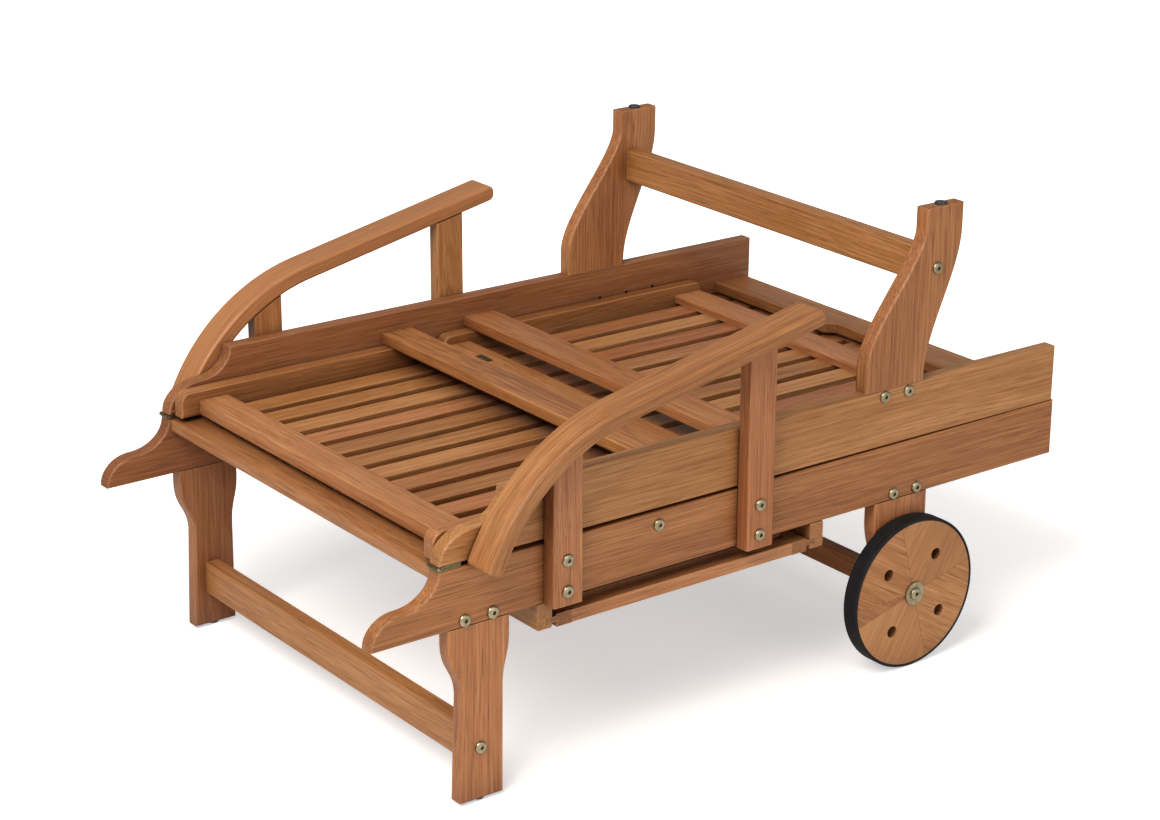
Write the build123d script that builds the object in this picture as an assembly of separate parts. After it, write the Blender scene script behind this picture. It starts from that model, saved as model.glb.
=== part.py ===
"""Folding wooden sun lounger on two wheels, shown folded in half.

The foot frame is turned over on top of the main frame about two brass hinges, with its legs
pointing up.  X runs from the leg end (hinges) to the wheel end, Y from the near side to the
far side, Z up.  While modelling, X = 0 is the line of the hinges; every piece is moved by
-X_MID when it is written, so that the origin is the bottom centre of the whole object.
"""
import math
import os

from build123d import *

# ------------------------------------------------------------------ driving dimensions (mm)
FRAME_WIDTH = 640.0        # over the outer faces of the side rails
DECK_HEIGHT = 302.0        # top edge of the main rails above the ground
MAIN_LENGTH = 977.0        # hinge line to the wheel end of the main rails
FOOT_LENGTH = 974.0        # hinge line to the free end of the foot rails
HORN_LENGTH = 92.0         # curved nose of the main rails past the hinge line
RAIL_DEPTH = 75.0
RAIL_THICKNESS = 21.0
BOARD = 21.0               # thickness of legs, arms, posts and stretchers
BAR_THICKNESS = 16.0       # flat cross bars
PANEL_STILE = 20.0         # thickness of the panel stiles
PANEL_DEPTH = 33.0         # height of the panel stiles
SLAT_THICKNESS = 9.5
SLAT_COUNT = 11
SLAT_GAP = 15.0
WHEEL_RADIUS = 101.4
WHEEL_WIDTH = 22.8
TYRE_THICKNESS = 4.0

EDGE = 2.5                 # rounding of the wood's edges
SOFT_EDGE = 4.0            # rounding of the arms and posts
FIT = 0.2                  # clearance in glued and bolted joints
RUNNING = 0.05             # radial clearance of a pin in its hole
SIDE_PLAY = 0.5            # foot frame clear of arms and posts, each side
PANEL_PLAY = 1.5           # panel stiles clear of the rails, each side

HINGE_LIFT = 3.0           # hinge axis above the deck
REST_GAP = 0.3             # folded rails apart at the free end
HINGE_Z = DECK_HEIGHT + HINGE_LIFT
TILT = math.degrees(math.atan((2 * HINGE_LIFT - REST_GAP) / FOOT_LENGTH))
HALF = FRAME_WIDTH / 2
RAIL_BOTTOM = DECK_HEIGHT - RAIL_DEPTH
X_MID = (MAIN_LENGTH - HORN_LENGTH) / 2

# main frame
DECK_DROP = 1.0            # seat and backrest lie this far below the rail tops
LEG_X = (12.0, 97.0)       # shoulder of the front legs
WHEEL_LEG_X = (664.0, 753.0)
AXLE_X = 714.7
TENON_THICKNESS = 9.0
TENON_HEIGHT = 20.0
TENON_INSET = 10.0
STRETCHER_DEPTH = 45.0
LEG_STRETCHER = (54.4, 69.7)
AXLE_BAR_DEPTH = 28.0
GLIDE_THICKNESS = 3.0
GLIDE_RADIUS = 8.0
SEAT_FRONT_BAR = (3.0, 48.0)
SEAT_REAR_BAR = (246.0, 290.0)
END_BAR = (934.0, 974.0)
BAR_TENON = 8.0

# backrest and its prop
BACK_PIVOT = (314.0, 285.0)
BACK_END = 962.0
PANEL_BAR = 43.0
REBATE = 8.0
PROP_PIVOT = (599.0, 276.0)
PROP_REACH = 318.5
PROP_DROP = 20.0
PROP_ARM = 12.0
PROP_ARM_DEPTH = 18.0
PROP_BAR_RADIUS = 8.0
RACK_TOP = 232.2
RACK_NOTCHES = (627.0, 667.0, 707.0)

# arms
ARM_WIDTH = 46.0
ARM_THICKNESS = 21.0
ARM_RADIUS = 267.0
ARM_START = (35.4, 305.0)
ARM_START_ANGLE = 67.4
ARM_END_ANGLE = 11.6
ARM_TIP_X = 529.0
POST_CENTRES = (165.5, 455.0)
POST_WIDTH = 42.0
POST_BOLT_Z = (284.0, 245.0)

# tray under the seat
RUNNER_X = (136.0, 555.0)
RUNNER_DEPTH = 33.0
GROOVE_DEPTH = 8.0
TRAY_TOP = 209.0
TRAY_THICKNESS = 16.5
TRAY_RAIL = 24.0
TRAY_GAP = 6.0
TONGUE_HEIGHT = 7.0
TRAY_SLATS = 10

# foot frame, in its unfolded place: S is the distance from the hinge line
FOOT_LEG_S = (640.0, 738.0)
FOOT_TOE_S = (730.0, 792.0)
FOOT_STRETCHER = (751.0, 82.0)
KNEE_BAR_S = (328.0, 376.0)
CALF_BAR_S = (461.5, 511.5)
HAND_BAR_S = (910.0, 968.0)
HAND_HOLD = (124.0, 12.5)  # length and depth of the hollow in the hand bar
BAR_Z = 269.0              # top of the two bars that carry the panels, unfolded
HAND_BAR_Z = 299.5
PEG_HOLES_S = (696.0, 743.5, 791.0)

# leg-rest panels in the foot frame
PANEL_TOP = DECK_HEIGHT + 0.5
KNEE_PIVOT = (22.0, 289.0)
KNEE_START = 8.0
KNEE_JOINT_S = 412.0
JOINT_GAP = 4.0
CALF_END = 864.0
PANEL_BAR_DEPTH = 20.5
KNEE_BAR = 43.0
CALF_BAR = 43.0

# hardware
HEAD_RADIUS = 7.8
HEAD_HEIGHT = 3.4
SHANK_RADIUS = 3.0
AXLE_RADIUS = 5.0
LEAF = 2.7
LEAF_LENGTH = 31.0
KNUCKLE_RADIUS = 2.85
PIN_RADIUS = 1.3
BARREL_RADIUS = 5.0
PIVOT_RADIUS = 4.0

MAIN_OUT = HALF
MAIN_IN = HALF - RAIL_THICKNESS
FOOT_OUT = HALF - SIDE_PLAY
FOOT_IN = FOOT_OUT - RAIL_THICKNESS
STILE_OUT = FOOT_IN - PANEL_PLAY
STILE_IN = STILE_OUT - PANEL_STILE
LOW = (Align.CENTER, Align.CENTER, Align.MIN)
HIGH = (Align.CENTER, Align.CENTER, Align.MAX)


# ------------------------------------------------------------------ helpers
def save(node, *shapes):
    """Write one node, moved into the object's own frame."""
    solids = []
    for shape in shapes:
        solids += shape.solids()
    whole = solids[0] if len(solids) == 1 else Compound(children=solids)
    export_step(whole.moved(Pos(-X_MID, 0, 0)), "parts/" + node + ".step")


def far(shape):
    """The same piece on the far side."""
    return mirror(shape, about=Plane.XZ)


def block(x, y, z):
    """Box between two limits along each axis."""
    centre = Pos((x[0] + x[1]) / 2, (y[0] + y[1]) / 2, (z[0] + z[1]) / 2)
    return centre * Box(x[1] - x[0], y[1] - y[0], z[1] - z[0])


def board(x, y, z, along, radius=EDGE):
    """Sawn board with its long edges rounded."""
    body = block(x, y, z)
    return fillet(body.edges().filter_by(along), radius)


def pole(x, z, y, radius):
    """Round bar along Y."""
    return Location((x, y[1], z), (90, 0, 0)) * Cylinder(radius, y[1] - y[0], align=LOW)


def line(*points):
    """Straight edges through (x, z) points."""
    return [Line((a[0], 0, a[1]), (b[0], 0, b[1])) for a, b in zip(points, points[1:])]


def curve(*points):
    """One Bezier edge through (x, z) control points."""
    return [Bezier(*[(x, 0, z) for x, z in points])]


def sweep_arc(centre, radius, start, end):
    """Arc in the XZ plane between two angles in degrees."""
    def at(angle):
        turn = math.radians(angle)
        return (centre[0] + radius * math.cos(turn), 0, centre[1] + radius * math.sin(turn))
    return [ThreePointArc(at(start), at((start + end) / 2), at(end))]


def slab(outline, y):
    """Closed outline in the XZ plane, given a thickness along Y."""
    face = Face(Wire([edge for edge in outline]))
    return extrude(face, y[1] - y[0], dir=(0, 1, 0)).moved(Pos(0, y[0], 0))


def plate(outline, y, radius=EDGE, square_above=None, square_below=None):
    """Shaped board whose two faces are rounded over, except along a joint's shoulder."""
    body = slab(outline, y)
    rims = body.edges().filter_by(Axis.Y, reverse=True)
    if square_above is not None:
        rims = rims.filter_by(lambda e: e.center().Z < square_above - 0.01)
    if square_below is not None:
        rims = rims.filter_by(lambda e: e.center().Z > square_below + 0.01)
    return fillet(rims, radius)


def fold(shape):
    """Turn a foot-frame piece from its unfolded place to its folded one."""
    return shape.rotate(Axis((0, 0, HINGE_Z), (0, 1, 0)), 180.0 + TILT)


def bolt(x, z, face, grip, out=-1, shank=SHANK_RADIUS, head=HEAD_RADIUS):
    """Domed socket bolt driven along Y from a face; out is the side of its head."""
    cap = Cylinder(head, HEAD_HEIGHT, align=LOW)
    cap = fillet(cap.edges().sort_by(Axis.Z)[-1], HEAD_HEIGHT * 0.7)
    socket = extrude(RegularPolygon(head * 0.36, 6), HEAD_HEIGHT * 0.6)
    body = cap - Pos(0, 0, HEAD_HEIGHT * 0.4) * socket
    body += Cylinder(shank, grip, align=HIGH)
    turn = 90 if out < 0 else -90
    return Location((x, face, z), (turn, 0, 0)) * body


def washer(x, z, y, outer, bore):
    """Flat ring about a bolt along Y."""
    return pole(x, z, y, outer) - pole(x, z, (y[0] - 1, y[1] + 1), bore)


def slat_rows(width, count, gap):
    """Y limits of slats evenly spread over a width."""
    wide = (width - (count + 1) * gap) / count
    start = -width / 2 + gap
    return [(start + i * (wide + gap), start + i * (wide + gap) + wide) for i in range(count)]


def slats(x, z, width, count=SLAT_COUNT, gap=SLAT_GAP):
    """Separate slats along X, side by side across a width."""
    return [board(x, row, z, Axis.X, 1.5) for row in slat_rows(width, count, gap)]


# ------------------------------------------------------------------ main frame
def ogee(x, z, sign=1.0):
    """Nose curve from the hinge corner down to the tip: a hollow, then a round."""
    hollow = (50.0, 39.0)
    bulge = (HORN_LENGTH - hollow[0], RAIL_DEPTH - hollow[1])
    k = 0.5523
    top = (x, z)
    mid = (x - sign * hollow[0], z - hollow[1])
    tip = (x - sign * HORN_LENGTH, z - RAIL_DEPTH)
    first = curve(top, (x, z - k * hollow[1]), (mid[0] + sign * k * hollow[0], mid[1]), mid)
    second = curve(mid, (mid[0] - sign * k * bulge[0], mid[1]), (tip[0], tip[1] + k * bulge[1]), tip)
    return first + second, tip


def main_rail():
    """Near side rail with its nose, mortised for the legs and bored for the bolts."""
    nose, tip = ogee(0.0, DECK_HEIGHT)
    rest = line(tip, (MAIN_LENGTH, RAIL_BOTTOM), (MAIN_LENGTH, DECK_HEIGHT), (0.0, DECK_HEIGHT))
    rail = plate(nose + rest, (-MAIN_OUT, -MAIN_IN))
    for span in (LEG_X, WHEEL_LEG_X):
        rail -= tenon(span, FIT)
    for x, z in main_rail_bolts():
        rail -= pole(x, z, (-MAIN_OUT - 1, -MAIN_OUT + 18.0 + FIT), SHANK_RADIUS + FIT)
    rail -= pole(*BACK_PIVOT, (-MAIN_OUT - 1, -MAIN_IN + 1), SHANK_RADIUS + RUNNING)
    for x in POST_CENTRES:
        for z in POST_BOLT_Z:
            rail -= pole(x - 1.5, z, (-MAIN_OUT - 1, -MAIN_OUT + 15.0), SHANK_RADIUS + FIT)
    for bar in (SEAT_FRONT_BAR, SEAT_REAR_BAR):
        rail -= seat_bar_tenons(bar, deck_level() - BAR_THICKNESS, FIT)
    rail -= seat_bar_tenons(END_BAR, end_bar_top() - BAR_THICKNESS, FIT)
    for x in RUNNER_X:
        rail -= runner_screw(x + BOARD / 2, 0.1)
    return rail


def main_rail_bolts():
    """Bolts through the main rail's cheek into the tenons of both legs."""
    level = RAIL_BOTTOM + 8.5
    front = [(LEG_X[0] + 22.0, level), (LEG_X[1] - 24.0, level)]
    rear = [(WHEEL_LEG_X[0] + 29.5, level), (WHEEL_LEG_X[1] - 20.0, level)]
    return front + rear


def tenon(span, grow=0.0):
    """Stub on top of a near leg that stands in the rail."""
    middle = -(MAIN_OUT + MAIN_IN) / 2
    x = (span[0] + TENON_INSET - grow, span[1] - TENON_INSET + grow)
    y = (middle - TENON_THICKNESS / 2 - grow, middle + TENON_THICKNESS / 2 + grow)
    return block(x, y, (RAIL_BOTTOM - 0.5, RAIL_BOTTOM + TENON_HEIGHT + grow))


def deck_level():
    return DECK_HEIGHT - DECK_DROP


def end_bar_top():
    return deck_level() - PANEL_DEPTH


def seat_bar_tenons(span, bottom, grow=0.0):
    """Whole-section ends of a cross bar that stand in both rails."""
    x = (span[0] - grow, span[1] + grow)
    reach = MAIN_IN + BAR_TENON + grow
    z = (bottom - grow, bottom + BAR_THICKNESS + grow)
    return block(x, (-reach, reach), z)


def front_leg():
    """Near front leg: wide shoulder, waisted shaft, foot on a glide."""
    low = GLIDE_THICKNESS
    top = RAIL_BOTTOM
    left, right = LEG_X
    outline = line((left, 205.0), (left, top), (right, top), (right, 205.0))
    outline += curve((right, 205.0), (right, 176.0), (right - 9.0, 170.0), (right - 9.5, 140.0))
    outline += line((right - 9.5, 140.0), (right - 10.5, low), (left + 14.0, low), (left + 19.0, 138.0))
    outline += curve((left + 19.0, 138.0), (left + 18.0, 168.0), (left, 172.0), (left, 205.0))
    leg = plate(outline, (-MAIN_OUT, -MAIN_IN), square_above=top)
    leg += tenon(LEG_X)
    leg -= pole(*LEG_STRETCHER, (-MAIN_OUT - 1, -MAIN_IN + 1), SHANK_RADIUS + FIT)
    for x, z in main_rail_bolts()[:2]:
        leg -= pole(x, z, (-MAIN_OUT - 1, -MAIN_OUT + 18.0 + FIT), SHANK_RADIUS + FIT)
    x = (left + right) / 2 + 2.0
    return leg - glide_nail(x, low, FIT)


def wheel_leg():
    """Near wheel leg: short board with a round end about the axle."""
    left, right = WHEEL_LEG_X
    top = RAIL_BOTTOM
    axle = (AXLE_X, WHEEL_RADIUS)
    end = 34.0
    outline = line((left, 200.0), (left, top), (right, top), (right, 200.0))
    outline += curve((right, 200.0), (right, 160.0), (AXLE_X + end, 150.0), (AXLE_X + end, axle[1]))
    outline += sweep_arc(axle, end, 0.0, -180.0)
    outline += curve((AXLE_X - end, axle[1]), (AXLE_X - end, 150.0), (left, 165.0), (left, 200.0))
    leg = plate(outline, (-MAIN_OUT, -MAIN_IN), square_above=top)
    leg += tenon(WHEEL_LEG_X)
    leg -= pole(*axle, (-MAIN_OUT - 1, -MAIN_IN + 1), AXLE_RADIUS + FIT)
    for x, z in main_rail_bolts()[2:]:
        leg -= pole(x, z, (-MAIN_OUT - 1, -MAIN_OUT + 18.0 + FIT), SHANK_RADIUS + FIT)
    return leg


def stretcher(centre, depth, half_length, bolt_radius, bolt_depth, hidden=1):
    """Cross rail on edge between two legs, bored for its end bolts and barrel nuts."""
    x, z = centre
    span_z = (z - depth / 2, z + depth / 2)
    bar = board((x - BOARD / 2, x + BOARD / 2), (-half_length, half_length), span_z, Axis.Y)
    for side in (-1, 1):
        start, stop = sorted((side * (half_length + 1), side * (half_length - bolt_depth - FIT)))
        bar -= pole(x, z, (start, stop), bolt_radius + FIT)
        nut_y = side * (half_length - bolt_depth + 10.0)
        bar -= barrel_nut(x, nut_y, z, hidden, FIT)
    return bar


def barrel_nut(x, y, z, hidden=1, grow=0.0):
    """Cross dowel that an end bolt screws into, let in from the hidden face (+X or -X)."""
    length = BOARD / 2 + 6.0 + 2 * grow
    start = Location((x - hidden * (6.0 + grow), y, z), (0, hidden * 90, 0))
    return start * Cylinder(BARREL_RADIUS + grow, length, align=LOW)


def barrel_nuts(centre, half_length, bolt_depth, bolt_radius, hidden=1):
    """The two barrel nuts of one stretcher, each with its bolt's hole."""
    x, z = centre
    nuts = []
    for side in (-1, 1):
        y = side * (half_length - bolt_depth + 10.0)
        hole = pole(x, z, (y - 20.0, y + 20.0), bolt_radius + RUNNING)
        nuts.append(barrel_nut(x, y, z, hidden) - hole)
    return nuts


def glide_nail(x, z, grow=0.0):
    """Shank of a glide, up into the end of a leg."""
    y = -(MAIN_OUT + MAIN_IN) / 2
    return Pos(x, y, z - 0.5) * Cylinder(1.5 + grow, 15.5 + grow, align=LOW)


def glide(x):
    """Plastic glide under a near leg that stands on the ground."""
    y = -(MAIN_OUT + MAIN_IN) / 2
    disc = Pos(x, y, 0) * Cylinder(GLIDE_RADIUS, GLIDE_THICKNESS, align=LOW)
    disc = fillet(disc.edges().sort_by(Axis.Z)[0], 1.2)
    return disc + glide_nail(x, GLIDE_THICKNESS)


def flat_bar(span, bottom, half_length, rebate_side=0):
    """Cross bar lying flat; its inner edge can be rebated for the slats."""
    z = (bottom, bottom + BAR_THICKNESS)
    bar = board(span, (-half_length, half_length), z, Axis.Y)
    if rebate_side > 0:
        cut = (span[1] - REBATE, span[1] + 1)
    if rebate_side < 0:
        cut = (span[0] - 1, span[0] + REBATE)
    if rebate_side:
        width = STILE_IN if half_length < MAIN_IN else MAIN_IN
        bar -= block(cut, (-width, width), (z[1] - SLAT_THICKNESS, z[1] + 1))
    return bar


def seat_slats():
    """Fixed slats between the two seat bars of the main frame."""
    x = (SEAT_FRONT_BAR[1] - REBATE + FIT, SEAT_REAR_BAR[0] + REBATE - FIT)
    level = deck_level()
    return slats(x, (level - SLAT_THICKNESS, level), 2 * MAIN_IN)


def rack():
    """Near notched strip on the rail that the backrest's prop stands on."""
    x = (RACK_NOTCHES[0] - 27.0, RACK_NOTCHES[-1] + 25.0)
    y = (-MAIN_IN, -MAIN_IN + 14.0)
    strip = board(x, y, (RACK_TOP - 11.0, RACK_TOP), Axis.X, 1.0)
    for notch in RACK_NOTCHES:
        strip -= pole(notch, RACK_TOP + PROP_BAR_RADIUS - 3.0, (y[0] - 1, y[1] + 1), PROP_BAR_RADIUS)
    return strip


# ------------------------------------------------------------------ arms
def arm_path(offset, extra=0.0):
    """Arc and straight of the arm's top line, moved inwards by an offset."""
    start = math.radians(ARM_START_ANGLE)
    centre = (ARM_START[0] + ARM_RADIUS * math.sin(start), ARM_START[1] - ARM_RADIUS * math.cos(start))
    radius = ARM_RADIUS - offset
    first = ARM_START_ANGLE + 90.0 + extra
    last = ARM_END_ANGLE + 90.0
    arc = sweep_arc(centre, radius, first, last)
    turn = math.radians(last)
    join = (centre[0] + radius * math.cos(turn), centre[1] + radius * math.sin(turn))
    slope = math.tan(math.radians(ARM_END_ANGLE))
    tip = (ARM_TIP_X, join[1] + (ARM_TIP_X - join[0]) * slope)
    begin = (centre[0] + radius * math.cos(math.radians(first)),
             centre[1] + radius * math.sin(math.radians(first)))
    return arc, begin, join, tip


def arm():
    """Near arm: bent low end, straight run, rounded tip, bored for the post dowels."""
    top, start, join, tip = arm_path(0.0)
    under, low_start, low_join, low_tip = arm_path(ARM_THICKNESS)
    outline = top + line(join, tip, low_tip, low_join) + under + line(low_start, start)
    body = slab(outline, (-MAIN_OUT - ARM_WIDTH, -MAIN_OUT))
    tips = body.edges().filter_by(Axis.Y).sort_by(Axis.X)[-2:]
    body = fillet(tips, ARM_THICKNESS * 0.42)
    heels = body.edges().filter_by(Axis.Y).sort_by(Axis.Z)[:2]
    body = fillet(heels, ARM_THICKNESS * 0.25)
    body = fillet(body.edges().filter_by(Axis.Y, reverse=True), SOFT_EDGE)
    for x in POST_CENTRES:
        body -= post_dowels(x, FIT)
    return body


def above_arm():
    """Space over the underside of the near arm."""
    under, start, join, tip = arm_path(ARM_THICKNESS)
    roof = 700.0
    outline = under + line(join, (tip[0] + 40.0, tip[1] + 40.0 * math.tan(math.radians(ARM_END_ANGLE))),
                           (tip[0] + 40.0, roof), (start[0], roof), start)
    return slab(outline, (-MAIN_OUT - ARM_WIDTH - 5, -MAIN_OUT + 5))


def underside(x):
    """Height of the arm's underside at a place along it."""
    start = math.radians(ARM_START_ANGLE)
    centre = (ARM_START[0] + ARM_RADIUS * math.sin(start), ARM_START[1] - ARM_RADIUS * math.cos(start))
    radius = ARM_RADIUS - ARM_THICKNESS
    turn = math.radians(ARM_END_ANGLE + 90.0)
    join = (centre[0] + radius * math.cos(turn), centre[1] + radius * math.sin(turn))
    if x > join[0]:
        return join[1] + (x - join[0]) * math.tan(math.radians(ARM_END_ANGLE))
    return centre[1] + math.sqrt(radius ** 2 - (x - centre[0]) ** 2)


def post_dowels(x, grow=0.0):
    """Two wooden dowels that pin the arm to a near post."""
    y = -MAIN_OUT - BOARD / 2
    pins = []
    for shift in (-11.0, 11.0):
        z = underside(x + shift)
        pins.append(Pos(x + shift, y, z - 14.0 - grow) * Cylinder(3.5 + grow, 26.0 + 2 * grow, align=LOW))
    return pins[0] + pins[1]


def post(x):
    """Near arm post, bolted to the outside of the rail and cut to the arm's underside."""
    span = (x - POST_WIDTH / 2, x + POST_WIDTH / 2)
    body = board(span, (-MAIN_OUT - BOARD, -MAIN_OUT), (RAIL_BOTTOM, 640.0), Axis.Z, SOFT_EDGE - 1.0)
    body -= above_arm()
    for z in POST_BOLT_Z:
        body -= pole(x - 1.5, z, (-MAIN_OUT - BOARD - 1, -MAIN_OUT + 1), SHANK_RADIUS + FIT)
    return body - post_dowels(x, FIT)


# ------------------------------------------------------------------ tray
def runner(x):
    """Grooved board across the underside of the rails that carries the tray."""
    z = (RAIL_BOTTOM - RUNNER_DEPTH, RAIL_BOTTOM)
    body = board((x, x + BOARD), (-MAIN_OUT, MAIN_OUT), z, Axis.Y, 1.5)
    groove_z = (tongue_bottom() - 0.4, tongue_bottom() + TONGUE_HEIGHT + 0.4)
    if x < (RUNNER_X[0] + RUNNER_X[1]) / 2:
        groove_x = (x + BOARD - GROOVE_DEPTH, x + BOARD + 1)
    else:
        groove_x = (x - 1, x + GROOVE_DEPTH)
    body -= block(groove_x, (-MAIN_OUT - 1, MAIN_OUT + 1), groove_z)
    screw = runner_screw(x + BOARD / 2, 0.1)
    return body - screw - far(screw)


def runner_screw(x, grow=0.0):
    """Near screw from under a runner up into the rail."""
    y = -(MAIN_OUT + MAIN_IN) / 2
    low = RAIL_BOTTOM - RUNNER_DEPTH
    head = Pos(x, y, low - 1.6) * Cylinder(4.2, 1.6, align=LOW)
    shank = Pos(x, y, low - 0.5) * Cylinder(1.8 + grow, RUNNER_DEPTH + 14.0 + grow, align=LOW)
    return shank if grow else head + shank


def tongue_bottom():
    return TRAY_TOP - TONGUE_HEIGHT - 2.5


def tray_rail(side):
    """Side piece of the tray with the tongue that slides in the runner's groove."""
    if side < 0:
        inner = RUNNER_X[0] + BOARD + TRAY_GAP
        x = (inner, inner + TRAY_RAIL)
        tongue = (RUNNER_X[0] + BOARD - GROOVE_DEPTH + 1.0, inner + 1.0)
    else:
        inner = RUNNER_X[1] - TRAY_GAP
        x = (inner - TRAY_RAIL, inner)
        tongue = (inner - 1.0, RUNNER_X[1] + GROOVE_DEPTH - 1.0)
    body = board(x, (-MAIN_OUT, MAIN_OUT), (TRAY_TOP - TRAY_THICKNESS, TRAY_TOP), Axis.Y, 1.5)
    body += block(tongue, (-MAIN_OUT, MAIN_OUT), (tongue_bottom(), tongue_bottom() + TONGUE_HEIGHT))
    ledge = (x[1] - REBATE, x[1] + 1) if side < 0 else (x[0] - 1, x[0] + REBATE)
    cut_z = (TRAY_TOP - 8.0, TRAY_TOP + 1)
    return body - block(ledge, (-MAIN_OUT + BOARD, MAIN_OUT - BOARD), cut_z)


def tray_edge(side):
    """Edge board of the tray along X, near (-1) or far (+1)."""
    x = (RUNNER_X[0] + BOARD + TRAY_GAP + TRAY_RAIL, RUNNER_X[1] - TRAY_GAP - TRAY_RAIL)
    y = sorted((side * MAIN_OUT, side * (MAIN_OUT - BOARD)))
    return board(x, y, (TRAY_TOP - TRAY_THICKNESS, TRAY_TOP), Axis.X, 1.5)


def tray_slats():
    """Floor of the tray: slats along X lying in the side pieces' rebates."""
    x = (RUNNER_X[0] + BOARD + TRAY_GAP + TRAY_RAIL - REBATE + FIT,
         RUNNER_X[1] - TRAY_GAP - TRAY_RAIL + REBATE - FIT)
    z = (TRAY_TOP - 8.0, TRAY_TOP)
    return slats(x, z, 2 * (MAIN_OUT - BOARD), TRAY_SLATS, 10.0)


# ------------------------------------------------------------------ wheels
def wheel_y():
    """Inner and outer face of the near wheel, the outer one first."""
    inner = -MAIN_OUT - 2.5
    return (inner - WHEEL_WIDTH, inner)


def wheel_wedges():
    """Near wheel disc, glued up from eight wedges, with four finger holes."""
    y = wheel_y()
    centre = (AXLE_X, WHEEL_RADIUS)
    radius = WHEEL_RADIUS - TYRE_THICKNESS
    face = (y[0] + 0.5, y[1] - 0.5)
    disc = pole(*centre, face, radius) - pole(*centre, y, AXLE_RADIUS + RUNNING)
    for i in range(4):
        turn = math.radians(52.0 + 90.0 * i)
        x, z = centre[0] + 57.7 * math.cos(turn), centre[1] + 57.7 * math.sin(turn)
        disc -= pole(x, z, y, 8.0)
    wedges = []
    for i in range(8):
        first = math.radians(20.0 + 45.0 * i)
        second = first + math.pi / 4
        reach = 2 * WHEEL_RADIUS
        corners = [centre]
        for turn in (first, second):
            corners.append((centre[0] + reach * math.cos(turn), centre[1] + reach * math.sin(turn)))
        wedges.append(slab(line(*corners, centre), y) & disc)
    return wedges


def tyre():
    """Thin rubber tyre around the near wheel's disc."""
    y = wheel_y()
    body = pole(AXLE_X, WHEEL_RADIUS, y, WHEEL_RADIUS)
    body = fillet(body.edges().filter_by(GeomType.CIRCLE), 1.5)
    inner = WHEEL_RADIUS - TYRE_THICKNESS
    return body - pole(AXLE_X, WHEEL_RADIUS, (y[0] - 1, y[1] + 1), inner)


def axle_bolt():
    """Bolt that the near wheel turns on, screwed into the axle bar."""
    y = wheel_y()[0] - 1.8
    grip = 75.0
    return bolt(AXLE_X, WHEEL_RADIUS, y, grip, -1, AXLE_RADIUS, 8.0)


def axle_washers():
    """Outer and inner washer of the near wheel."""
    outer = (wheel_y()[0] - 1.8, wheel_y()[0] + 0.3)
    inner = (-MAIN_OUT - 2.2, -MAIN_OUT)
    return [washer(AXLE_X, WHEEL_RADIUS, outer, 15.5, AXLE_RADIUS + RUNNING),
            washer(AXLE_X, WHEEL_RADIUS, inner, 15.5, AXLE_RADIUS + RUNNING)]


# ------------------------------------------------------------------ foot frame (unfolded place)
def foot_rail():
    """Near foot rail: its end is cut to nest over the nose of the main rail."""
    gap = 1.0
    nose, tip = ogee(-gap, DECK_HEIGHT + gap)
    crest = (-gap, DECK_HEIGHT)
    foot = (tip[0], RAIL_BOTTOM)
    outline = line((tip[0], tip[1]), foot, (-FOOT_LENGTH, RAIL_BOTTOM), (-FOOT_LENGTH, DECK_HEIGHT), crest)
    k = 0.5523
    mid = (-gap - 50.0, DECK_HEIGHT - 39.0 + gap)
    outline += curve(crest, (crest[0], DECK_HEIGHT - k * 38.0), (mid[0] + k * 50.0, mid[1]), mid)
    outline += [nose[1]]
    rail = plate(outline, (-FOOT_OUT, -FOOT_IN), 2.0)
    rail -= foot_tenon(FIT)
    for s in foot_bolt_s():
        rail -= pole(-s, RAIL_BOTTOM + 9.0, (-FOOT_OUT - 1, -FOOT_OUT + 18.0 + FIT), SHANK_RADIUS + FIT)
    for span, top in ((KNEE_BAR_S, BAR_Z), (CALF_BAR_S, BAR_Z), (HAND_BAR_S, HAND_BAR_Z)):
        rail -= foot_bar_ends(span, top, FIT)
    for s in PEG_HOLES_S:
        rail -= pole(-s, BAR_Z + 1.5, (-FOOT_IN - 12.0, -FOOT_IN + 1), 3.5)
    return rail - pole(-KNEE_PIVOT[0], KNEE_PIVOT[1], (-FOOT_IN - 13.0, -FOOT_IN + 1), PIVOT_RADIUS + FIT)


def foot_bolt_s():
    return (FOOT_LEG_S[0] + 32.0, FOOT_LEG_S[1] - 26.0)


def foot_tenon(grow=0.0):
    """Stub on top of a near foot leg that stands in the rail."""
    middle = -(FOOT_OUT + FOOT_IN) / 2
    x = (-FOOT_LEG_S[1] + TENON_INSET - grow, -FOOT_LEG_S[0] - TENON_INSET + grow)
    y = (middle - TENON_THICKNESS / 2 - grow, middle + TENON_THICKNESS / 2 + grow)
    return block(x, y, (RAIL_BOTTOM - 0.5, RAIL_BOTTOM + TENON_HEIGHT + grow))


def foot_bar_ends(span, top, grow=0.0):
    """Whole-section ends of a cross bar that stand in both foot rails."""
    reach = FOOT_IN + BAR_TENON + grow
    z = (top - BAR_THICKNESS - grow, top + grow)
    return block((-span[1] - grow, -span[0] + grow), (-reach, reach), z)


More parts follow.
